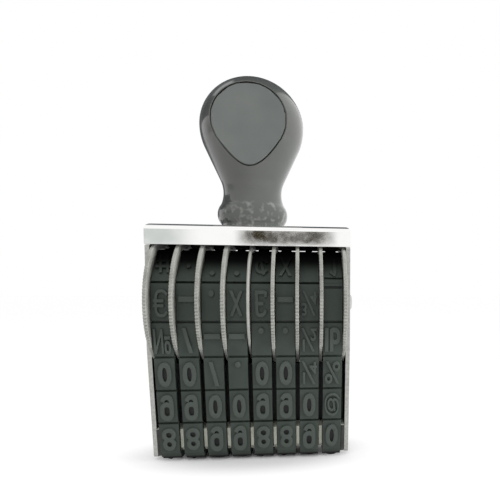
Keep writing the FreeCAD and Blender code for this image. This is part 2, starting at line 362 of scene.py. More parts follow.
def typed(text):
    clear_selection()
    bpy.ops.object.text_add()
    letter = bpy.context.object
    letter.data.body = "." if text == "'" else text
    letter.data.size = FONT_SIZE
    letter.data.resolution_u = CURVE_STEPS
    letter.data.offset = swell_of(text)
    letter.data.extrude = (RELIEF + TYPE_ROOT) / 2 - TYPE_EDGE
    letter.data.bevel_depth = TYPE_EDGE
    letter.data.bevel_resolution = 1
    bpy.ops.object.convert(target="MESH")
    return named("type_cut")


def bounds_of(piece):
    xs = [vert.co.x for vert in piece.data.vertices]
    ys = [vert.co.y for vert in piece.data.vertices]
    return min(xs), max(xs), min(ys), max(ys)


def place_type(letter, text):
    """Brings a character to size, mirrors it and puts its foot just under the pad's face."""
    left, right, low, high = bounds_of(letter)
    wide = SET_WIDTHS.get(text, min(type_scale_x * (right - left), TYPE_WIDEST))
    tall = TYPE_HEIGHT / (high - low) if text in FULL_HEIGHT else type_scale_y
    middle = (low + high) / 2 if text in FULL_HEIGHT else type_middle
    if text == "'":
        middle = low + high - type_middle
    pick_all(letter)
    bpy.ops.transform.translate(value=(-(left + right) / 2, -middle, (RELIEF - TYPE_ROOT) / 2))
    bpy.ops.transform.resize(value=(wide / (right - left), -tall, 1), center_override=(0, 0, 0))
    bpy.ops.mesh.remove_doubles(threshold=MERGE_GAP)
    bpy.ops.mesh.normals_make_consistent(inside=False)
    leave_edit()


# Middle and half size of a counter, as shares of a character's width and height
COUNTERS = {
    "0": [(0, 0, 0.2, 0.34)],
    "8": [(0, 0.23, 0.16, 0.13), (0, -0.22, 0.19, 0.15)],
    "9": [(0, 0.18, 0.2, 0.17), (-0.12, -0.25, 0.14, 0.07)],
    "6": [(0, -0.18, 0.2, 0.17), (0.12, 0.25, 0.14, 0.07)],
}
# A dark spot in a counter is dried ink and painted shade
SPOT_SIDES = 24
SPOT_DEPTH = 0.1 * MM
SPOT_LIFT = 0.015 * MM


def marked(piece, name):
    """Marks all points of a piece, for its material to find."""
    marks = piece.data.attributes.new(name, "FLOAT", "POINT")
    marks.data.foreach_set("value", [1.0] * len(piece.data.vertices))
    return piece


def ink_and_shade_spot(x, y, half_wide, half_tall):
    """A dark spot on the pad's face inside a character: dried ink and painted shade in the counter.
    """
    clear_selection()
    bpy.ops.mesh.primitive_cylinder_add(vertices=SPOT_SIDES, radius=1, depth=SPOT_DEPTH)
    spot = named("ink_and_shade_spot")
    pick_all(spot)
    bpy.ops.transform.resize(value=(half_wide * TYPE_WIDTH, half_tall * TYPE_HEIGHT, 1))
    bpy.ops.transform.translate(value=(x * TYPE_WIDTH, -y * TYPE_HEIGHT, SPOT_LIFT - SPOT_DEPTH / 2))
    leave_edit()
    return marked(spot, "ink")


def cut_type(text):
    if text not in type_cuts:
        letter = drawn(text) if text in PEN_LINES else typed(text)
        place_type(letter, text)
        spots = [ink_and_shade_spot(*counter) for counter in COUNTERS.get(text, [])]
        type_cuts[text] = joined("type_cut", [marked(letter, "type_face")] + spots)
    return type_cuts[text]


nought = typed("0")
zero_left, zero_right, zero_low, zero_high = bounds_of(nought)
type_scale_x = TYPE_WIDTH / (zero_right - zero_left)
type_scale_y = TYPE_HEIGHT / (zero_high - zero_low)
type_middle = (zero_low + zero_high) / 2
bpy.data.objects.remove(nought)
print("type scale %.2f across, %.2f up" % (type_scale_x, type_scale_y))

# %% [markdown]
# ### Characters drawn with a pen
# This type's nine has a tail that curls under its bowl, its one a short flag, and its
# money signs an even stroke, where the font's are different. So they are drawn as a pen
# would draw them: a line down the middle of each stroke, made a wall by extruding it,
# and the wall made a stroke by thickening it. Turned upside down the nine is the six.

# %% Draw the characters with a pen
STRAIGHT, CURVED, RING = 2, 4, 0
NINE_STEM = [(-0.44, 0.2), (-0.3, 0.0), (0.15, -0.04), (0.5, 0.08), (0.5, 0.4), (0.5, 0.7)]
NINE_BOWL = [(0.5, 0.68), (0.5, 0.96), (0.0, 1.06), (-0.5, 0.96), (-0.5, 0.68), (-0.5, 0.42),
             (0.0, 0.3), (0.5, 0.42)]
EURO_BOW = [(0.5, 0.84), (0.3, 1.0), (0.0, 1.02), (-0.4, 0.98), (-0.5, 0.7), (-0.5, 0.5),
            (-0.5, 0.3), (-0.4, 0.02), (0.0, -0.02), (0.3, 0.0), (0.5, 0.16)]
CENT_BOW = [(0.5, 0.7), (0.4, 0.84), (0.0, 0.9), (-0.45, 0.8), (-0.5, 0.5), (-0.45, 0.2),
            (0.0, 0.1), (0.4, 0.16), (0.5, 0.3)]
POUND_STEM = [(0.5, 0.78), (0.4, 0.98), (0.0, 1.02), (-0.3, 0.98), (-0.34, 0.7), (-0.3, 0.4),
              (-0.34, 0.1), (-0.42, 0.02)]
NINE = (0.9 * MM, [(CURVED, NINE_STEM), (RING, NINE_BOWL)])
# The width of the pen and the lines it draws, in shares of a nought's width and height
PEN_LINES = {
    "9": NINE,
    "6": NINE,
    "1": (0.75 * MM, [(STRAIGHT, [(-0.36, 0.78), (0.1, 0.98), (0.1, 0.0)])]),
    "€": (0.55 * MM, [(CURVED, EURO_BOW), (STRAIGHT, [(-0.72, 0.6), (0.2, 0.6)]),
                      (STRAIGHT, [(-0.72, 0.4), (0.2, 0.4)])]),
    "¢": (0.65 * MM, [(CURVED, CENT_BOW), (STRAIGHT, [(-0.2, 0.0), (0.26, 1.0)])]),
    "£": (0.65 * MM, [(CURVED, POUND_STEM), (STRAIGHT, [(-0.5, 0.02), (0.5, 0.02), (0.5, 0.22)]),
                      (STRAIGHT, [(-0.5, 0.5), (0.3, 0.5)])]),
}
LINE_STEP = 0.01 * MM


def pen_line(kind, line, stroke, height):
    """One stroke: a wall along the line, thickened to the width of the pen."""
    clear_selection()
    bpy.ops.curve.primitive_nurbs_curve_add()
    leave_edit()
    pen = bpy.context.object
    pen.data.splines.clear()
    pen.data.dimensions = "2D"
    across = (zero_right - zero_left) - stroke / type_scale_x
    up = (zero_high - zero_low) - stroke / type_scale_y
    spline = pen.data.splines.new("NURBS")
    spline.points.add(len(line) - 1)
    for point, (x, y) in zip(spline.points, line):
        point.co = (across * x, zero_low + stroke / type_scale_y / 2 + up * y, 0, 1)
    spline.order_u = kind or CURVED
    spline.use_cyclic_u = kind == RING
    spline.use_endpoint_u = kind != RING
    spline.resolution_u = CURVE_STEPS
    pen.data.extrude = height / 2
    bpy.ops.object.convert(target="MESH")
    wall = named("pen_line")
    modify(wall, "SOLIDIFY", thickness=stroke / type_scale_x, offset=0, use_even_offset=True)
    return wall


def drawn(text):
    """A character of several lines, each a trace lower, so that no two faces fall together."""
    stroke, lines = PEN_LINES[text]
    walls = []
    for count, (kind, line) in enumerate(lines):
        walls.append(pen_line(kind, line, stroke, RELIEF + TYPE_ROOT - count * LINE_STEP))
    letter = joined("type_cut", walls)
    if text == "6":
        pick_all(letter)
        bpy.ops.transform.rotate(value=math.pi, orient_axis="Z", center_override=(0, type_middle, 0))
        leave_edit()
    return letter


print("pen ready for", sorted(PEN_LINES))

# %% [markdown]
# ## Eight bands with their characters
# The bands stand at different settings in the photograph, so each has its own list. It
# is read from the printing face upwards and round: four pads up the front leg, then over
# the drum. The figures in order fill the pads that the photograph doesn't show, down the
# back and at the foot.

# %% Set the type and dress the bands
# Upwards from the printing face. An empty place leaves its pad plain.
FRONTS = [
    ["8", "9", "0", "№", "€", "#", "*"],
    ["8", "9", "0", "/", "-", "·", "*"],
    ["9", "0", "/", "-", ".", "'"],
    ["9", "0", ".", "-", "X", "'"],
    ["8", "9", "0", ".", "£", "¢", "*"],
    ["8", "9", "0", ".", "-", "X", "*"],
    ["9", "0", "¼", "½", "¾", ""],
    ["0", "@", "%", "lb", ""],
]
BACK_FIGURES = "123456789"
settings = [front + list(BACK_FIGURES[:len(band_route) - len(front)]) for front in FRONTS]


def dress_band(number):
    low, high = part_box("type_band_%d" % number)
    across = Matrix.Translation(((low.x + high.x) / 2, 0, 0))
    base = glued_band if number == BAND_COUNT else plain_band
    pieces = [turned_copy(base, "band_rubber_%d" % number, across)]
    for index, text in enumerate(settings[number - 1]):
        if text:
            middle = Vector((0, PAD_PITCH / 2, WEB + PAD_HEIGHT))
            place = across @ pad_place(index) @ Matrix.Translation(middle)
            pieces.append(turned_copy(cut_type(text), "type", place))
    band = joined("band_rubber_%d" % number, pieces)
    smooth(band, 35)
    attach(band, "stamp")
    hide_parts("type_band_%d" % number)
    return band


bands = [dress_band(number) for number in range(1, BAND_COUNT + 1)]
for unused in [plain_band, glued_band] + list(type_cuts.values()):
    bpy.data.objects.remove(unused)
print("triangles in the bands:", sum(triangles(band) for band in bands))

# %% [markdown]
# ## The thumb wheels
# A wheel is one moulding: a thin disc with a finely serrated rim for the thumb, and the
# eight-sided drum that drives the band. A cylinder with two sides for each tooth makes
# the rim, once every second corner is drawn in. The wheel is modelled at the origin with
# its drum towards +X. The four wheels on the right are mirrored.

# %% Model the wheel and place its copies
RIM_TEETH = 120
TOOTH_DEPTH = 0.28 * MM
DISC_THICKNESS = 0.8 * MM
RIM_EDGE = 0.1 * MM
FACE_RIM = 1.2 * MM
STEP_WIDTH = 0.2 * MM
STEP_DEPTH = 0.1 * MM
DRUM_CLEARANCE = 0.3 * MM
DRUM_EDGE = 0.35 * MM
DRUM_WALL = 1.4 * MM
wheel_radius = (wheel_high.z - wheel_low.z) / 2
wheel_length = wheel_high.x - wheel_low.x


def tooth_number(vert):
    return round(math.atan2(vert.co.z, vert.co.y) * RIM_TEETH / math.pi)


def bar(name, sides, radius, length, x=0.0, z=0.0):
    """A cylinder that lies along X."""
    clear_selection()
    bpy.ops.mesh.primitive_cylinder_add(vertices=sides, radius=radius, depth=length,
                                        location=(x, 0, z), rotation=(0, math.pi / 2, 0))
    return named(name)


def pick_rims(disc):
    pick(disc, "edges", lambda edge: edge.verts[0].co.x * edge.verts[1].co.x > 0)


def make_disc():
    disc = bar("wheel_disc", 2 * RIM_TEETH, wheel_radius, DISC_THICKNESS)
    pick(disc, "verts", lambda vert: tooth_number(vert) % 2 == 1)
    inward = 1 - TOOTH_DEPTH / wheel_radius
    bpy.ops.transform.resize(value=(1, inward, inward), center_override=(0, 0, 0))
    pick_rims(disc)
    bpy.ops.mesh.bevel(offset=RIM_EDGE, segments=1)
    pick(disc, "faces", lambda face: abs(face.normal.x) > SAME_WAY and len(face.verts) > RIM_TEETH)
    bpy.ops.mesh.inset(thickness=FACE_RIM)
    bpy.ops.mesh.inset(thickness=STEP_WIDTH, depth=-STEP_DEPTH)
    leave_edit()
    return disc


def make_drum():
    radius = (pitch_apothem - DRUM_CLEARANCE) / math.cos(half_turn)
    length = wheel_length - DISC_THICKNESS / 2
    drum = bar("wheel_drum", DRUM_FLATS, radius, length, x=length / 2)
    pick_all(drum)
    bpy.ops.transform.rotate(value=half_turn, orient_axis="X", center_override=(0, 0, 0))
    pick(drum, "edges", lambda edge: True)
    bpy.ops.mesh.bevel(offset=DRUM_EDGE, segments=2)
    pick(drum, "faces", lambda face: face.normal.x > SAME_WAY)
    bpy.ops.mesh.inset(thickness=DRUM_WALL)
    extrude((-length / 2, 0, 0))
    leave_edit()
    return drum


wheel = joined("wheel", [make_disc(), make_drum()])
wheels = []
for number in range(1, BAND_COUNT + 1):
    low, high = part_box("thumb_wheel_%d" % number)
    left = number <= BAND_COUNT // 2
    disc_x = low.x + DISC_THICKNESS / 2 if left else high.x - DISC_THICKNESS / 2
    place = Matrix.Translation((disc_x, 0, axle_z))
    if not left:
        place = place @ Matrix.Scale(-1, 4, (1, 0, 0))
    copy = turned_copy(wheel, "wheel_moulding_%d" % number, place, mirrored=not left)
    smooth(copy, 25)
    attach(copy, "wheel_%d" % number)
    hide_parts("thumb_wheel_%d" % number)
    wheels.append(copy)
bpy.data.objects.remove(wheel)
print("triangles in a wheel:", triangles(wheels[0]))

# %% [markdown]
# ## The divider and the axle
# Between the left and the right wheels sits a smooth disc. It is thinner and a little
# smaller, with a rounded rim. The axle is a plain rod, riveted over at both ends into
# shallow domes.

# %% Model the divider and the axle
AXLE_RADIUS = 1.5 * MM
HEAD_ROUND_SHARE = 0.9
AXLE_SIDES = 48
DIVIDER_SIDES = 160


def make_divider():
    low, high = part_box("centre_divider")
    thickness = high.x - low.x
    divider = bar("divider_disc", DIVIDER_SIDES, (high.z - low.z) / 2, thickness, z=axle_z)
    pick_rims(divider)
    bpy.ops.mesh.bevel(offset=thickness / 3, segments=3)
    smooth(divider, 40)
    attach(divider, "stamp")
    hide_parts("centre_divider")
    return divider


def make_axle():
    low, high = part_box("axle")
    plate_low, plate_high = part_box("frame_bracket")
    pieces = [bar("axle_rod", AXLE_SIDES, AXLE_RADIUS, plate_high.x - plate_low.x, z=axle_z)]
    head_height = high.x - plate_high.x
    for side in (-1, 1):
        middle = side * (plate_high.x + head_height / 2)
        head = bar("axle_head", AXLE_SIDES, (high.z - low.z) / 2, head_height, middle, axle_z)
        pick(head, "edges", lambda edge: min(abs(vert.co.x) for vert in edge.verts) > abs(middle))
        bpy.ops.mesh.bevel(offset=head_height * HEAD_ROUND_SHARE, segments=6)
        leave_edit()
        pieces.append(head)
    axle = joined("axle_with_heads", pieces)
    smooth(axle, 40)
    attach(axle, "stamp")
    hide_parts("axle")
    return axle


divider = make_divider()
axle = make_axle()
print("divider and axle faces", len(divider.data.polygons), len(axle.data.polygons))

# %% [markdown]
# ## Sheet and moulding edges
# The folded frame and the anvil comb have the right shape already, but real sheet and
# real mouldings have edges that catch the light. A copy of the solid is merged from its
# loose triangles, its flat faces are cleaned, and a narrow bevel rounds every sharp edge.

# %% Dress the frame and the comb
SHEET_EDGE = 0.15 * MM
MOULDED_EDGE = 0.08 * MM
SHARP_ANGLE = math.radians(35)
FLAT_ANGLE = math.radians(0.5)


def rounded_solid(node, name, edge, segments):
    piece = bpy.data.objects.new(name, nodes[node].data.copy())
    piece.data.name = name
    piece.data.materials.clear()
    bpy.context.scene.collection.objects.link(piece)
    pick_all(piece)
    bpy.ops.mesh.remove_doubles(threshold=MERGE_GAP)
    bpy.ops.mesh.dissolve_limited(angle_limit=FLAT_ANGLE)
    leave_edit()
    modify(piece, "BEVEL", width=edge, segments=segments, limit_method="ANGLE",
           angle_limit=SHARP_ANGLE, miter_outer="MITER_ARC")
    smooth(piece, 40)
    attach(piece, "stamp")
    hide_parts(node)
    return piece


sheet_frame = rounded_solid("frame_bracket", "folded_frame", SHEET_EDGE, 3)
comb = rounded_solid("anvil_comb", "spreading_comb", MOULDED_EDGE, 1)
spacer = rounded_solid("spacer_plate", "spacer_sheet", SHEET_EDGE, 2)
print("frame triangles", triangles(sheet_frame), "comb triangles", triangles(comb))

# %% [markdown]
# ## The handle
# The grip is a turned shape: a ring at the foot, a hollow neck, a cone and a round bulb.
# A lathe does it best, so one vertex is extruded along the profile and spun about the
# upright axis. The label's flat is a straight cut across the front of the bulb alone.
# An inset leaves its rim, and pushing the middle in makes the pocket for the label plate.

# %% Turn the grip
BULB_RADIUS = 12.4 * MM
CROWN_HEIGHT = 11.6 * MM
CONE_ANGLE = math.radians(25)
NECK_RADIUS = 7.0 * MM
NECK_RISE = 8.45 * MM
NECK_CURVE = 7.1 * MM
RING_RADIUS = 8.43 * MM
RING_RISE = 3.4 * MM
RING_TOP_RISE = 5.6 * MM
FOOT_RADIUS = 7.5 * MM
FOOT_RISE = 0.8 * MM
TURNING_STEPS = 128
BULB_STEPS = 36
NECK_STEPS = 14
RING_STEPS = 14

grip_low, grip_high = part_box("handle_grip")
top_plate_z = grip_low.z
bulb_z = grip_high.z - CROWN_HEIGHT
neck_z = top_plate_z + NECK_RISE


def round_from(centre, radius, start, end, steps):
    """Points on an arc in the plane Y = 0, from one angle to another."""
    angles = [start + (end - start) * step / steps for step in range(steps + 1)]
    return [centre + radius * Vector((math.cos(a), 0, math.sin(a))) for a in angles]


def through_three(first, middle, last, steps):
    """Points on the arc through three points in the plane Y = 0."""
    a, b = middle - first, last - first
    scale = 2 * (a.x * b.z - a.z * b.x)
    x = (b.z * a.length_squared - a.z * b.length_squared) / scale
    z = (a.x * b.length_squared - b.x * a.length_squared) / scale
    centre = first + Vector((x, 0, z))
    start = math.atan2(first.z - centre.z, first.x - centre.x)
    end = math.atan2(last.z - centre.z, last.x - centre.x)
    return round_from(centre, (first - centre).length, start, end, steps)


def grip_profile():
    flare = math.asin((NECK_RISE - RING_TOP_RISE) / NECK_CURVE)
    neck_centre = Vector((NECK_RADIUS + NECK_CURVE, 0, neck_z))
    points = round_from(Vector((0, 0, bulb_z)), BULB_RADIUS, math.pi / 2, -CONE_ANGLE, BULB_STEPS)
    for point in points:
        if point.z > bulb_z:
            point.z = bulb_z + (point.z - bulb_z) * CROWN_HEIGHT / BULB_RADIUS
    points += round_from(neck_centre, NECK_CURVE, math.pi - CONE_ANGLE, math.pi + flare, NECK_STEPS)
    ring_out = Vector((RING_RADIUS, 0, top_plate_z + RING_RISE))
    foot = Vector((FOOT_RADIUS, 0, top_plate_z + FOOT_RISE))
    points += through_three(points[-1], ring_out, foot, RING_STEPS)[1:]
    points += [Vector((FOOT_RADIUS, 0, top_plate_z)), Vector((0, 0, top_plate_z))]
    return points


def turn_grip():
    profile = grip_profile()
    clear_selection()
    bpy.ops.mesh.primitive_plane_add(size=2 * BULB_RADIUS)
    grip = named("grip")
    pick(grip, "verts", lambda vert: vert.index > 0)
    bpy.ops.mesh.delete(type="VERT")
    pick_all(grip)
    corner = Vector((-BULB_RADIUS, -BULB_RADIUS, 0))
    bpy.ops.transform.translate(value=profile[0] - corner)
    for here, there in zip(profile, profile[1:]):
        extrude(there - here)
    pick_all(grip)
    bpy.ops.mesh.spin(steps=TURNING_STEPS, angle=2 * math.pi, center=(0, 0, 0), axis=(0, 0, 1))
    pick_all(grip)
    bpy.ops.mesh.remove_doubles(threshold=MERGE_GAP)
    bpy.ops.mesh.normals_make_consistent(inside=False)
    leave_edit()
    return grip


grip = turn_grip()
print("grip height mm: %.2f" % ((grip_high.z - grip_low.z) / MM), "faces", len(grip.data.polygons))

# %% Cut the label's flat, its pocket and the label plate
LABEL_INSET = 3.7 * MM
LABEL_LEAN = math.radians(1.1)
LABEL_DROP = 1.5 * MM
LABEL_RIM = 0.15 * MM
LABEL_DEPTH = 0.9 * MM
PLATE_SHARE = 0.8
LABEL_GAP = 0.3 * MM
LABEL_EDGE = 0.28 * MM
MANY_SIDES = 20
label_normal = Vector((0, -math.cos(LABEL_LEAN), -math.sin(LABEL_LEAN)))
label_point = Vector((0, LABEL_INSET - BULB_RADIUS, bulb_z - LABEL_DROP))
cone_low_z = neck_z + NECK_CURVE * math.sin(CONE_ANGLE)


def on_label(face, depth=0.0):
    """Whether a face lies in the label's flat, or at a depth behind it."""
    middle = face.calc_center_median()
    off = (middle - label_point).dot(label_normal) + depth
    return abs(off) < 2 * SEAM_GAP and abs(face.normal.dot(label_normal)) > SAME_WAY


def cut_label():
    pick(grip, "faces", lambda face: face.calc_center_median().z > cone_low_z)
    bpy.ops.mesh.bisect(plane_co=label_point, plane_no=label_normal, use_fill=True, clear_outer=True)
    pick(grip, "faces", on_label)
    bpy.ops.mesh.inset(thickness=LABEL_RIM)
    bpy.ops.mesh.duplicate()
    bpy.ops.mesh.separate(type="SELECTED")
    leave_edit()
    plate = [piece for piece in bpy.context.selected_objects if piece is not grip][0]
    pick(grip, "faces", lambda face: on_label(face) and len(face.verts) > MANY_SIDES)
    extrude(-LABEL_DEPTH * label_normal)
    leave_edit()
    return plate


def finish_plate(plate):
    plate.name = "label_blank"
    plate.data.name = "label_blank"
    pick(plate, "faces", lambda face: True)
    bpy.ops.mesh.inset(thickness=LABEL_GAP)
    pick(plate, "faces", lambda face: len(face.verts) == 4)
    bpy.ops.mesh.delete(type="FACE")
    pick(plate, "faces", lambda face: True)
    extrude(-PLATE_SHARE * LABEL_DEPTH * label_normal)
    pick_all(plate)
    bpy.ops.mesh.normals_make_consistent(inside=False)
    pick(plate, "edges", lambda edge: all(abs((vert.co - label_point).dot(label_normal)) < SEAM_GAP
                                          for vert in edge.verts))
    bpy.ops.mesh.bevel(offset=LABEL_EDGE, segments=3)
    smooth(plate, 30)
    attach(plate, "stamp")
    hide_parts("label_plate")
    return plate


label = finish_plate(cut_label())
smooth(grip, 30)
grip.name = "handle_turning"
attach(grip, "stamp")
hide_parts("handle_grip")
print("grip triangles", triangles(grip), "label triangles", triangles(label))

# %% [markdown]
# ## Materials
# Each finish is a small node tree on Object coordinates, so it needs no unwrapping and
# stays put when a wheel turns. The helpers add a node with its inputs fed, start a
# material, and let noise of a size in metres drift its colour, roughness or surface.

# %% Material helpers


def grey(value):
    return (value, value, value)


def node(tree, kind, inputs=None, **settings):
    """Adds a shader node and gives its outputs. An input takes a value, or a socket to feed it."""
    made = tree.nodes.new("ShaderNode" + kind)
    for key, value in settings.items():
        setattr(made, key, value)
    for key, value in (inputs or {}).items():
        if isinstance(value, bpy.types.NodeSocket):
            tree.links.new(value, made.inputs[key])
        else:
            made.inputs[key].default_value = value
    return made.outputs


def feed(shader, name, socket):
    shader.id_data.links.new(socket, shader.inputs[name])


def new_finish(name, colour, roughness, metallic=0.0):
    finish = bpy.data.materials.new(name)
    finish.use_nodes = True
    shader = finish.node_tree.nodes["Principled BSDF"]
    shader.inputs["Base Color"].default_value = (*colour, 1)
    shader.inputs["Roughness"].default_value = roughness
    shader.inputs["Metallic"].default_value = metallic
    return finish, shader, finish.node_tree


def noise(tree, grain, detail=3.0, stretch=(1, 1, 1)):
    """Noise whose grains are about so many metres across."""
    place = node(tree, "Mapping", {"Vector": node(tree, "TexCoord")["Object"], "Scale": stretch})
    grains = {"Vector": place["Vector"], "Scale": 1 / grain, "Detail": detail}
    return node(tree, "TexNoise", grains)["Fac"]


def spread(tree, factor, low, high, start=0.3, stop=0.7):
    """Maps a factor onto a run of colours or greys."""
    ramp = tree.nodes.new("ShaderNodeValToRGB")
    for element, place, colour in zip(ramp.color_ramp.elements, (start, stop), (low, high)):
        element.position = place
        element.color = (*colour, 1)
    tree.links.new(factor, ramp.inputs["Fac"])
    return ramp.outputs["Color"]


def paint(shader, factor, low, high, *ends):
    """Lets the base colour drift with a factor, from one colour to another."""
    feed(shader, "Base Color", spread(shader.id_data, factor, low, high, *ends))


def roughen(shader, factor, low, high):
    """Lets the roughness drift with a factor."""
    feed(shader, "Roughness", spread(shader.id_data, factor, grey(low), grey(high)))


def bump(shader, factor, height):
    raised = node(shader.id_data, "Bump", {"Height": factor, "Distance": height, "Strength": 1})
    feed(shader, "Normal", raised["Normal"])


def wear(*pieces, finish):
    for piece in pieces:
        piece.data.materials.clear()
        piece.data.materials.append(finish)


print("material helpers ready")

# %% [markdown]
# ### Rubber
# Stamp rubber is dark grey-green and dull. Handling leaves a faint greasy bloom, so the
# colour drifts a little and the roughness with it. The characters' faces are a shade
# lighter. Dark spots in their counters are dried ink and painted shade. The printing face
# is inked, with painted shade at its foot. Towards the top, under the flange, painted shade
# darkens the rubber and takes away its shine.

# %% Rubber
RUBBER_COLOURS = (0.026, 0.036, 0.03), (0.044, 0.056, 0.047)
TYPE_COLOUR = (0.056, 0.068, 0.059, 1)
# Near black: dried ink, and also the colour of the painted shade
INK_AND_SHADE_COLOUR = (0.004, 0.0045, 0.004, 1)
SHADE_START = 44.5 * MM
SHADE_FULL = 48.6 * MM
# Ink on the printing face and painted shade at the foot, from where it starts to where it is full
INK_AND_SHADE_FROM = 1.7 * MM
INK_AND_SHADE_FULL = 1.1 * MM
RUBBER_SHINE = 0.35


def blended(tree, blend, factor, first, second):
    """Mixes the colour from a socket with a plain one."""
    mix = tree.nodes.new("ShaderNodeMix")
    mix.data_type = "RGBA"
    mix.blend_type = blend
    colour_inputs = [socket for socket in mix.inputs if socket.type == "RGBA"]
    tree.links.new(factor, mix.inputs["Factor"])
    tree.links.new(first, colour_inputs[0])
    colour_inputs[1].default_value = second
    return [socket for socket in mix.outputs if socket.type == "RGBA"][0]


def marks(tree, name):
    return node(tree, "Attribute", attribute_name=name)["Fac"]


def fade(tree, value, start, stop, low=0.0, high=1.0):
    """Eases from low to high while a value runs from start to stop."""
    ends = {"Value": value, "From Min": start, "From Max": stop, "To Min": low, "To Max": high}
    return node(tree, "MapRange", ends, interpolation_type="SMOOTHSTEP")["Result"]


def along_z(tree, start, stop, low=0.0, high=1.0):
    """Runs from one value at a height to another at a second height."""
    place = node(tree, "SeparateXYZ", {"Vector": node(tree, "TexCoord")["Object"]})
    return fade(tree, place["Z"], start, stop, low, high)


def make_rubber():
    finish, shader, tree = new_finish("band_rubber", RUBBER_COLOURS[1], 0.55)
    cloud = noise(tree, 6 * MM)
    plain = spread(tree, cloud, *RUBBER_COLOURS)
    # The characters' faces a shade lighter
    lighter_faces = blended(tree, "LIGHTEN", marks(tree, "type_face"), plain, TYPE_COLOUR)
    # Dark spots in the counters: dried ink and painted shade
    counter_ink_and_shade = blended(tree, "MIX", marks(tree, "ink"), lighter_faces, INK_AND_SHADE_COLOUR)
    # The printing face: ink, and painted shade at the foot
    foot = blended(tree, "MIX", along_z(tree, INK_AND_SHADE_FROM, INK_AND_SHADE_FULL), counter_ink_and_shade, INK_AND_SHADE_COLOUR)
    # Painted shade: towards the top, under the flange, the rubber darkens and loses its shine
    shade = along_z(tree, SHADE_START, SHADE_FULL)
    feed(shader, "Base Color", blended(tree, "MIX", shade, foot, INK_AND_SHADE_COLOUR))
    feed(shader, "Specular IOR Level", along_z(tree, SHADE_START, SHADE_FULL, RUBBER_SHINE, 0.0))
    roughen(shader, cloud, 0.45, 0.62)
    bump(shader, noise(tree, 0.35 * MM, 4.0), 0.02 * MM)
    return finish


rubber = make_rubber()
wear(*bands, finish=rubber)
print(rubber.name)

# %% [markdown]
# ### Wheel, divider and comb plastic
# The wheels are a warm grey, cloudy with dirt. The divider is the same plastic, smoother
# and a trace lighter. The comb is paler and yellower.

# %% Light plastics
WHEEL_COLOURS = (0.24, 0.245, 0.22), (0.35, 0.355, 0.325)
DIVIDER_COLOURS = (0.3, 0.3, 0.275), (0.38, 0.38, 0.355)
COMB_COLOURS = (0.5, 0.51, 0.42), (0.66, 0.67, 0.57)


def make_light_plastic(name, low, high, roughness, grain):
    finish, shader, tree = new_finish(name, high, roughness)
    paint(shader, noise(tree, 3 * MM, 5.0), low, high, 0.25, 0.6)
    bump(shader, noise(tree, grain), 0.01 * MM)
    return finish


wheel_plastic = make_light_plastic("wheel_plastic", *WHEEL_COLOURS, 0.42, 0.3 * MM)
divider_plastic = make_light_plastic("divider_plastic", *DIVIDER_COLOURS, 0.35, 0.6 * MM)
comb_plastic = make_light_plastic("comb_plastic", *COMB_COLOURS, 0.5, 0.3 * MM)
wear(*wheels, finish=wheel_plastic)
wear(divider, finish=divider_plastic)
wear(comb, finish=comb_plastic)
print(wheel_plastic.name, divider_plastic.name, comb_plastic.name)

# %% [markdown]
# ### Nickel plate and steel
# The frame is bright nickel over rolled sheet. A perfect mirror looks false, so the
# sheet's faint waviness goes in as a low bump, and handling marks as roughness. Fingers
# have dimmed its sides and its back. Inside, ink stains and painted shade darken it almost
# to black, and the comb's two cheeks with it. Where the sheet was cut it is duller than on
# its rolled faces. The spacer plate is blackened steel, its near black a painted shade in
# the slits between the bands. The axle, the comb's rod and the stud with its washer are
# turned steel, and the lathe's fine rings show in their roughness.

# %% Metals
SHEET = 1.0 * MM
FLANGE_DEPTH = 4.75 * MM
CHEEK = 1.1 * MM
# A face looks along an axis when this much of its normal lies along it
FACING = 0.7
EDGE_FACING = 0.6
NICKEL_COLOUR = (0.96, 0.96, 0.945)
DIMMED_COLOUR = (0.7, 0.7, 0.68)
STAINED_AND_SHADED_COLOURS = (0.02, 0.021, 0.02), (0.07, 0.07, 0.066)
CUT_COLOURS = (0.33, 0.33, 0.315), (0.49, 0.49, 0.47)
BLACKENED_SHADE_COLOURS = (0.035, 0.035, 0.036), (0.065, 0.065, 0.064)
STEEL_COLOUR = (0.62, 0.62, 0.6)
ALONG_SHEET = (0.1, 1, 1)
AROUND_ROD = (8, 1, 1)


def make_metal(name, low, high, roughness, grain, detail, metallic=1.0, stretch=(1, 1, 1)):
    """A metal whose colour and roughness drift together."""
    finish, shader, tree = new_finish(name, high, roughness[1], metallic)
    drift = noise(tree, grain, detail, stretch)
    paint(shader, drift, low, high)
    roughen(shader, drift, *roughness)
    return finish


def make_nickel(name, colour, clean, soiled):
    finish, shader, tree = new_finish(name, colour, soiled, metallic=1.0)
    roughen(shader, noise(tree, 2.5 * MM, 5.0), clean, soiled)
    bump(shader, noise(tree, 9 * MM, 1.0), 0.012 * MM)
    return finish


def refinish(piece, finish, rule):
    """Gives another finish to the faces of a piece that the rule accepts."""
    piece.data.materials.append(finish)
    picked = pick(piece, "faces", rule)
    piece.active_material_index = len(piece.data.materials) - 1
    bpy.ops.object.material_slot_assign()
    leave_edit()
    return picked


def dim_outside(piece, finish):
    """The outer faces of the side plates and of the rear flange."""
    return refinish(piece, finish, lambda face: abs(face.normal.x) > FACING or face.normal.y > FACING)


def dull_edges(piece, finish):
    """The narrow faces where the sheet was cut: down the side plates and under the flanges."""
    under_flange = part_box("frame_bracket")[1].z - FLANGE_DEPTH

    def is_cut(face):
        if face.normal.z < -FACING:
            return True
        return face.calc_center_median().z < under_flange and abs(face.normal.y) > EDGE_FACING

    return refinish(piece, finish, is_cut)


def stain_and_shade_inside(piece, finish):
    """Stains the faces that look into the frame and paints shade on them."""
    reach = SHEET - SEAM_GAP
    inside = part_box("frame_bracket")[1] - Vector((reach, reach, reach))

    def looks_in(face):
        middle = face.calc_center_median()
        if abs(middle.x) > inside.x or abs(middle.y) > inside.y or middle.z > inside.z:
            return False
        return middle.x * face.normal.x < 0 or middle.y * face.normal.y < 0 or face.normal.z < -FACING

    return refinish(piece, finish, looks_in)


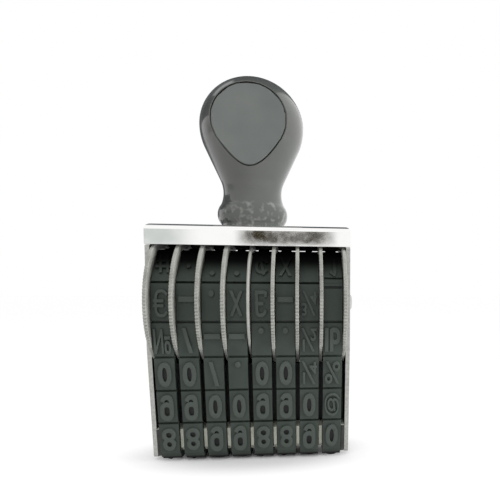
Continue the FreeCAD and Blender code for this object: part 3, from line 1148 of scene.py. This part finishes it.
nickel = make_nickel("nickel_plate", NICKEL_COLOUR, 0.03, 0.1)
dimmed = make_nickel("dimmed_nickel", DIMMED_COLOUR, 0.12, 0.26)
# Inside the frame: ink stains and painted shade
stained_and_shaded = make_metal("stained_shaded_nickel", *STAINED_AND_SHADED_COLOURS, (0.5, 0.75), 3 * MM, 4.0, metallic=0.3)
cut_edge = make_metal("cut_edge", *CUT_COLOURS, (0.28, 0.45), 0.6 * MM, 4.0)
# Near-black steel for the spacer: painted shade in the slits between the bands
dark_steel = make_metal("dark_steel", *BLACKENED_SHADE_COLOURS, (0.4, 0.6), 0.5 * MM, 3.0, 0.8, ALONG_SHEET)
steel = make_metal("turned_steel", STEEL_COLOUR, STEEL_COLOUR, (0.24, 0.4), 0.25 * MM, 2.0,
                   stretch=AROUND_ROD)
wear(sheet_frame, finish=nickel)
wear(spacer, finish=dark_steel)
print("faces dimmed:", dim_outside(sheet_frame, dimmed))
print("cut edges:", dull_edges(sheet_frame, cut_edge))
print("faces stained inside the frame:", stain_and_shade_inside(sheet_frame, stained_and_shaded))
# The comb's cheeks take the same ink stains and painted shade
inside_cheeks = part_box("anvil_comb")[1].x - CHEEK
cheek_faces = refinish(comb, stained_and_shaded, lambda face: abs(face.calc_center_median().x) > inside_cheeks)
print("faces stained on the comb's cheeks:", cheek_faces)
wear(axle, nodes["anvil_rod"], nodes["handle_stud"], nodes["handle_washer"], finish=steel)
print(nickel.name, steel.name)

# %% [markdown]
# ### Handle and label plastic
# The grip is polished grey plastic with a green cast, faintly cloudy, and its ring is
# flecked with painted highlights. The label plate is a shade lighter and satin, and it is
# left bare.

# %% Handle plastics
GRIP_COLOURS = (0.055, 0.063, 0.057), (0.077, 0.08, 0.073)
PAINTED_GLINT_COLOUR = (0.19, 0.195, 0.18, 1)
LABEL_COLOURS = (0.1, 0.112, 0.107), (0.123, 0.132, 0.125)
GLINT_FADE = 0.5 * MM
GRIP_SHINE = 0.25
COAT_ROUGHNESS = 0.05


def make_grip_plastic():
    finish, shader, tree = new_finish("grip_plastic", GRIP_COLOURS[1], 0.35)
    plain = spread(tree, noise(tree, 14 * MM, 2.0), *GRIP_COLOURS)
    ring_top = top_plate_z + RING_TOP_RISE
    on_ring = along_z(tree, ring_top + GLINT_FADE, ring_top - GLINT_FADE)
    # Painted highlights: light flecks on the ring, which also raise its bump
    flecks = spread(tree, noise(tree, 1.3 * MM, 1.0), grey(0), grey(1), 0.5, 0.76)
    painted_glints = node(tree, "Math", {0: on_ring, 1: flecks}, operation="MULTIPLY")[0]
    feed(shader, "Base Color", blended(tree, "MIX", painted_glints, plain, PAINTED_GLINT_COLOUR))
    bump(shader, painted_glints, 0.03 * MM)
    shader.inputs["Specular IOR Level"].default_value = GRIP_SHINE
    shader.inputs["Coat Weight"].default_value = 1.0
    shader.inputs["Coat Roughness"].default_value = COAT_ROUGHNESS
    return finish


def make_label_plastic():
    finish, shader, tree = new_finish("label_plastic", LABEL_COLOURS[1], 0.45)
    paint(shader, noise(tree, 8 * MM, 2.0), *LABEL_COLOURS)
    bump(shader, noise(tree, 0.25 * MM), 0.006 * MM)
    return finish


grip_plastic = make_grip_plastic()
label_plastic = make_label_plastic()
wear(grip, finish=grip_plastic)
wear(label, finish=label_plastic)
print(grip_plastic.name, label_plastic.name)

# %% [markdown]
# ## Floor, light and camera
# The stamp stands on a pale floor that runs to the horizon. The background is white only
# for the camera and for reflections, and the light on the object stays at a plain level.
# Close to the stamp's foot the floor's own paper shows, so that the contact shadow stays.

# %% Floor and sky
WHITE = (1, 1, 1, 1)
FLOOR_WHITE = 0.85
FLOOR_GLOW = 1.1
FLOOR_SIZE = 4
SKY_LIGHT = 0.4
SHADOW_REACH = 14 * MM
SHADOW_CORE_SHARE = 0.35
FOOT_HALF_DEPTH = 5 * MM


def seen_rays(tree):
    """1 for rays from the camera and off or through shiny surfaces, 0 for light on the object."""
    rays = node(tree, "LightPath")
    seen = rays["Is Camera Ray"]
    for more in ("Is Glossy Ray", "Is Transmission Ray"):
        seen = node(tree, "Math", {0: seen, 1: rays[more]}, operation="MAXIMUM")[0]
    return seen


def away_from_foot(tree):
    """0 under the stamp, rising to FLOOR_WHITE at the reach of its contact shadow."""
    half_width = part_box("frame_bracket")[1].x + SHADOW_REACH
    half_depth = FOOT_HALF_DEPTH + SHADOW_REACH
    share = node(tree, "Mapping", {"Vector": node(tree, "TexCoord")["Object"],
                                   "Scale": (1 / half_width, 1 / half_depth, 0)})
    away = node(tree, "VectorMath", {0: share["Vector"]}, operation="LENGTH")
    return fade(tree, away["Value"], SHADOW_CORE_SHARE, 1, 0, FLOOR_WHITE)


def mix_into(end, share, first, second):
    """Leads two shaders, mixed by a share, into the end of a material or a world."""
    mix = node(end.id_data, "MixShader", {0: share, 1: first, 2: second})
    feed(end, "Surface", mix[0])


def make_floor():
    clear_selection()
    bpy.ops.mesh.primitive_plane_add(size=FLOOR_SIZE)
    floor = named("floor")
    finish, shader, tree = new_finish("floor_paper", grey(0.9), 0.9)
    share = node(tree, "Math", {0: seen_rays(tree), 1: away_from_foot(tree)}, operation="MULTIPLY")
    white = node(tree, "Emission", {"Color": WHITE, "Strength": FLOOR_GLOW})
    mix_into(tree.nodes["Material Output"], share[0], shader.outputs[0], white[0])
    floor.data.materials.append(finish)


def make_sky():
    sky = bpy.data.worlds.new("sky")
    bpy.context.scene.world = sky
    sky.use_nodes = True
    tree = sky.node_tree
    plain = node(tree, "Background", {"Color": WHITE, "Strength": SKY_LIGHT})
    white = node(tree, "Background", {"Color": WHITE})
    mix_into(tree.nodes["World Output"], seen_rays(tree), plain[0], white[0])


make_floor()
make_sky()
print("floor and sky ready")

# %% [markdown]
# ### Cards
# Bright metal only shows what stands around it. In the photograph the folds of the frame
# and the left of the bulb mirror a dark room, and the front flange mirrors whoever holds
# the camera as a brown blur. A few cards that only reflections can see stand for them.

# %% Cards for the reflections


def edge_fade(tree, soft):
    """1 in the middle of a card and 0 at its edge, on the card's own UV map."""
    centred = node(tree, "Mapping", {"Vector": node(tree, "TexCoord")["UV"], "Location": (-1, -1, 0),
                                     "Scale": (2, 2, 0)})
    away = node(tree, "VectorMath", {0: centred["Vector"]}, operation="ABSOLUTE")
    parts = node(tree, "SeparateXYZ", {"Vector": away["Vector"]})
    furthest = node(tree, "Math", {0: parts["X"], 1: parts["Y"]}, operation="MAXIMUM")
    return fade(tree, furthest[0], 1 - soft, 1, 1, 0)


def card_corners(low, high):
    """The four corners of a card that lies square to the axes, the lowest first."""
    xs, ys, zs = zip(low, high)
    corners = {(x, y, z) for x in xs for y in ys for z in zs}
    return sorted(corners, key=lambda corner: corner[::-1])


def reflection_card(name, low, high, colour, soft):
    """A card that shines only into reflections, its edge fading out over a share of its size."""
    clear_selection()
    bpy.ops.mesh.primitive_plane_add(size=2)
    card = named(name)
    for vert, corner in zip(card.data.vertices, card_corners(low, high)):
        vert.co = corner
    card.visible_camera = False
    card.visible_diffuse = False
    card.visible_shadow = False
    finish, shader, tree = new_finish(name, colour, 1.0)
    tree.nodes.remove(shader)
    clear = node(tree, "BsdfTransparent")
    glow = node(tree, "Emission", {"Color": (*colour, 1)})
    mix_into(tree.nodes["Material Output"], edge_fade(tree, soft), clear[0], glow[0])
    card.data.materials.append(finish)


# The lowest and the highest corner in metres, the colour, and how far the edge is soft
CARDS = [
    ("dark_room", (-0.3, -0.15, 0.8), (0.42, 2.5, 0.8), (0.08, 0.085, 0.095), 0.2),
    ("dark_corner", (-0.9, 0.45, 0.81), (-0.2, 2.5, 0.81), (0.08, 0.085, 0.095), 0.2),
    ("dark_wall", (-0.8, 0.1, 0.33), (-0.8, 0.8, 0.9), (0.05, 0.055, 0.07), 0.05),
    ("dark_back", (-0.85, 0.8, 0.0), (-0.2, 0.8, 0.9), (0.12, 0.13, 0.14), 0.25),
    ("pale_side", (-1.0, -0.5, -0.4), (-1.0, 0.5, 0.4), (0.45, 0.46, 0.45), 0.8),
    ("brown_blur", (-0.088, -0.63, 0.1), (0.065, -0.63, 0.128), (0.045, 0.038, 0.025), 0.35),
    ("pale_blur", (-0.32, -0.63, 0.09), (-0.13, -0.63, 0.14), (0.6, 0.63, 0.62), 0.5),
]
for card in CARDS:
    reflection_card(*card)
print("cards:", len(CARDS))

# %% [markdown]
# ### Lamps
# Three soft lamps shade the stamp as in the photograph. One stands high behind the camera,
# a strong one low at the right, where the wheels' rims are brightest, and a faint one at
# the left. Reflections don't see them, so no square lamp shows in the nickel.

# %% Lamps
# A name, a place and a size in metres, and a power in watts
LAMP_TARGET = Vector((0, 0, 0.05))
LAMPS = [
    ("front_lamp", (-0.05, -0.32, 0.4), 0.3, 0.85),
    ("left_lamp", (-0.38, -0.28, 0.1), 0.2, 0.15),
    ("right_lamp", (0.42, -0.15, 0.12), 0.2, 2.0),
]


def soft_lamp(name, place, size, power):
    """A square lamp at a place in metres, turned to the middle of the stamp."""
    data = bpy.data.lights.new(name, "AREA")
    data.shape = "SQUARE"
    data.size = size
    data.energy = power
    lamp = bpy.data.objects.new(name, data)
    lamp.location = place
    lamp.rotation_euler = (LAMP_TARGET - lamp.location).to_track_quat("-Z", "Y").to_euler()
    lamp.visible_glossy = False
    bpy.context.scene.collection.objects.link(lamp)


for lamp in LAMPS:
    soft_lamp(*lamp)

# %% [markdown]
# ## Camera
# The camera stands where the photograph's did, worked out from the stamp's own edges. It
# looks a little down and to the right. The photograph was cropped off centre, so the
# lens is shifted to give the same frame.

# %% Camera
CAMERA_PLACE = Vector((12.56, -131.36, 42.54)) * MM
CAMERA_YAW = math.radians(6.779)
CAMERA_PITCH = math.radians(-3.738)
CAMERA_ROLL = math.radians(0.374)
FOCAL_PIXELS = 514.08
PHOTO_SIZE = 500
CENTRE_PIXEL = (365.05, 320.15)
SENSOR_WIDTH = 36
NEAREST = 0.01


def set_camera():
    forward = Vector((math.sin(CAMERA_YAW) * math.cos(CAMERA_PITCH),
                      math.cos(CAMERA_YAW) * math.cos(CAMERA_PITCH), math.sin(CAMERA_PITCH)))
    level = Vector((math.cos(CAMERA_YAW), -math.sin(CAMERA_YAW), 0))
    upright = level.cross(forward)
    right = math.cos(CAMERA_ROLL) * level + math.sin(CAMERA_ROLL) * upright
    up = math.cos(CAMERA_ROLL) * upright - math.sin(CAMERA_ROLL) * level
    data = bpy.data.cameras.new("camera")
    data.sensor_width = SENSOR_WIDTH
    data.lens = SENSOR_WIDTH * FOCAL_PIXELS / PHOTO_SIZE
    data.shift_x = (PHOTO_SIZE / 2 - CENTRE_PIXEL[0]) / PHOTO_SIZE
    data.shift_y = (CENTRE_PIXEL[1] - PHOTO_SIZE / 2) / PHOTO_SIZE
    data.clip_start = NEAREST
    camera = bpy.data.objects.new("camera", data)
    turn = Matrix((right, up, -forward)).transposed().to_4x4()
    camera.matrix_world = Matrix.Translation(CAMERA_PLACE) @ turn
    bpy.context.scene.collection.objects.link(camera)
    bpy.context.scene.camera = camera
    return camera


camera = set_camera()
bpy.context.scene.view_settings.view_transform = "Standard"
print("lens mm: %.2f, shift %.3f %.3f" % (camera.data.lens, camera.data.shift_x, camera.data.shift_y))

# %% Finish
clear_selection()
bpy.context.view_layer.update()
